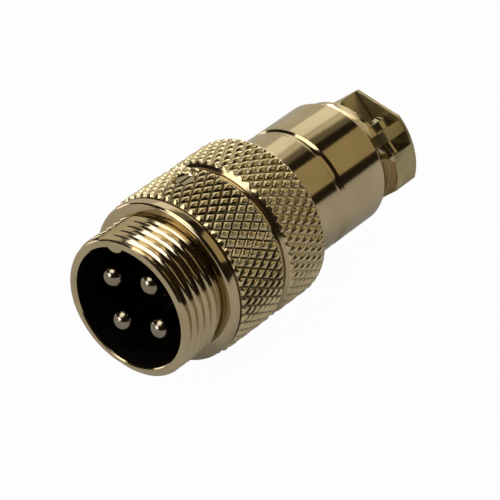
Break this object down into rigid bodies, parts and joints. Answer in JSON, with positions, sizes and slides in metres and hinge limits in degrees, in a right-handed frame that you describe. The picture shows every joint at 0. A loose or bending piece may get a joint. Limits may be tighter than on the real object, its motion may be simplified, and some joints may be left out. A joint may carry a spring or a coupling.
{
  "type": "microphone plug",
  "caption": "In-line microphone plug: round pins in a keyed cup with a male thread, two knurled bands that screw apart, a plain barrel and a screwed cord clamp at the tail.",
  "frame": {"origin": "on the plug's axis, in the end face of its tail", "axes": "+Z along the axis from the tail to the threaded rim, +X from the axis to the key and the set screw"},
  "size_m": [0.0188, 0.0188, 0.04],
  "materials": {
    "nickel": "bright nickel plate over turned brass",
    "nickel_shell": "bright nickel plate over turned brass",
    "nickel_saddle": "bright nickel plate over brass",
    "screw_metal": "nickel-plated steel",
    "set_screw_metal": "dark steel",
    "pin_metal": "bright silver plate",
    "ring_metal": "spring steel",
    "insulator": "satin black moulding",
    "insulator_rear": "satin black moulding"
  },
  "bodies": {
    "rear_shell": {"rear_shell": "nickel_shell"},
    "front_body": {"front_body": "nickel", "pin_plate": "insulator", "pin_holder": "insulator_rear", "retaining_ring": "ring_metal", "contact_pin_1": "pin_metal", "contact_pin_2": "pin_metal", "contact_pin_3": "pin_metal", "contact_pin_4": "pin_metal"},
    "set_screw": {"set_screw": "set_screw_metal"},
    "clamp_saddle": {"clamp_saddle": "nickel_saddle"},
    "clamp_screw_1": {"clamp_screw_1": "screw_metal"},
    "clamp_screw_2": {"clamp_screw_2": "screw_metal"}
  },
  "joints": [
    {"name": "front_body_unscrew", "type": "hinge", "parent": "rear_shell", "child": "front_body", "pos_m": [0, 0, 0.0225], "axis": [0, 0, 1], "range_deg": [0, 1800]},
    {"name": "set_screw_turn", "type": "hinge", "parent": "front_body", "child": "set_screw", "pos_m": [0.0078, 0, 0.02805], "axis": [1, 0, 0], "range_deg": [0, 1800]},
    {"name": "clamp_saddle_lift", "type": "slide", "parent": "rear_shell", "child": "clamp_saddle", "axis": [0.8746, 0.4848, 0], "range_m": [-0.0002, 0.0012]},
    {"name": "clamp_screw_1_turn", "type": "hinge", "parent": "clamp_saddle", "child": "clamp_screw_1", "pos_m": [0.00264, -0.00477, 0.00215], "axis": [0.8746, 0.4848, 0], "range_deg": [-206.71, 1235.29]},
    {"name": "clamp_screw_2_turn", "type": "hinge", "parent": "clamp_saddle", "child": "clamp_screw_2", "pos_m": [-0.00264, 0.00477, 0.00215], "axis": [0.8746, 0.4848, 0], "range_deg": [-206.71, 1235.29]}
  ],
  "couplings": [
    {"joint": "clamp_screw_1_turn", "follows": "clamp_saddle_lift", "rad_per_m": 17952},
    {"joint": "clamp_screw_2_turn", "follows": "clamp_saddle_lift", "rad_per_m": 17952}
  ]
}
